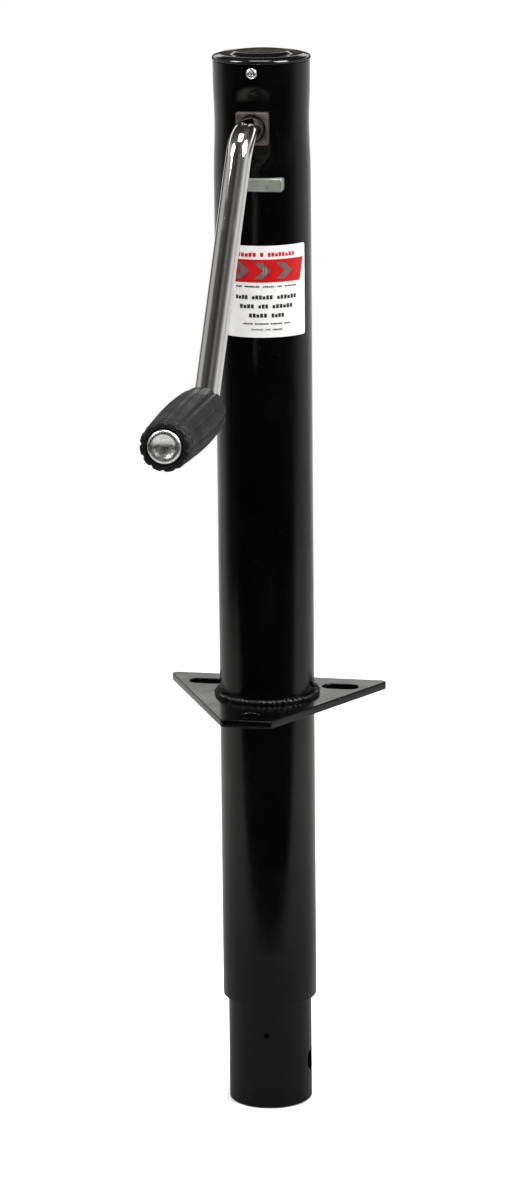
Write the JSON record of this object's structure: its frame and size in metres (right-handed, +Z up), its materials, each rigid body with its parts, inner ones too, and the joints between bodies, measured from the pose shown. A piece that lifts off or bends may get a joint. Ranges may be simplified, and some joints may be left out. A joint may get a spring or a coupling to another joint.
{
  "type": "trailer tongue jack",
  "caption": "Side-wind trailer tongue jack: round black tube with a triangular bolt-on flange, a chrome crank with a fluted grip, and a screw-driven inner tube.",
  "frame": {"origin": "on the tube axis, in the plane of the flange's underside, where the jack sits on the trailer tongue", "axes": "+Z up along the tube, -Y towards the person turning the crank, +X to that person's right"},
  "size_m": [0.133, 0.2548, 0.6456],
  "materials": {
    "black_paint": "gloss black enamel over welded steel tube",
    "cap_paint": "high gloss black on the stamped cap",
    "chrome": "bright chrome plate",
    "zinc": "pale yellow-green zinc plate",
    "raw_steel": "sintered steel, brownish grey",
    "machined_steel": "rolled thread, lightly greased",
    "hard_steel": "ground hardened steel",
    "nut_iron": "cast iron with machined thread",
    "grip_plastic": "satin black plastic with long flutes",
    "label_film": "printed white film, red block"
  },
  "bodies": {
    "housing": {"outer_tube": "black_paint", "top_cap": "cap_paint", "cap_rivet": "zinc", "flange_plate": "black_paint", "flange_weld": "black_paint", "support_bar": "zinc", "crank_bushing_front": "raw_steel", "crank_bushing_rear": "raw_steel", "race_upper": "hard_steel", "label": "label_film"},
    "screw": {"lead_screw": "machined_steel", "screw_gear": "raw_steel", "gear_pin": "hard_steel", "gear_washer": "zinc", "race_lower": "hard_steel", "stop_washer": "zinc", "stop_pin": "hard_steel"},
    "bearing": {"ball_cage": "zinc", "ball_1": "hard_steel", "ball_2": "hard_steel", "ball_3": "hard_steel", "ball_4": "hard_steel", "ball_5": "hard_steel", "ball_6": "hard_steel", "ball_7": "hard_steel", "ball_8": "hard_steel"},
    "ram": {"inner_tube": "black_paint", "lead_nut": "nut_iron", "nut_pin_left": "hard_steel", "nut_pin_right": "hard_steel"},
    "crank": {"crank_rod": "chrome", "pinion_gear": "raw_steel", "pinion_pin": "hard_steel", "grip_cap": "chrome"},
    "grip_sleeve": {"grip": "grip_plastic"}
  },
  "joints": [
    {"name": "crank_turn", "type": "hinge", "parent": "housing", "child": "crank", "pos_m": [0, 0, 0.351], "axis": [0, 1, 0], "range_deg": [0, 23040]},
    {"name": "grip_spin", "type": "hinge", "parent": "crank", "child": "grip_sleeve", "pos_m": [-0.01313, -0.165, 0.20087], "axis": [0, 1, 0], "continuous": true},
    {"name": "screw_turn", "type": "hinge", "parent": "housing", "child": "screw", "pos_m": [0, 0, 0.3], "axis": [0, 0, 1], "range_deg": [0, 17280]},
    {"name": "bearing_turn", "type": "hinge", "parent": "housing", "child": "bearing", "pos_m": [0, 0, 0.31024], "axis": [0, 0, 1], "range_deg": [0, 8640]},
    {"name": "ram_slide", "type": "slide", "parent": "housing", "child": "ram", "axis": [0, 0, -1], "range_m": [0, 0.381]}
  ],
  "couplings": [
    {"joint": "screw_turn", "follows": "crank_turn", "ratio": 0.75},
    {"joint": "bearing_turn", "follows": "crank_turn", "ratio": 0.375},
    {"joint": "ram_slide", "follows": "crank_turn", "m_per_rad": 0.00094747}
  ]
}
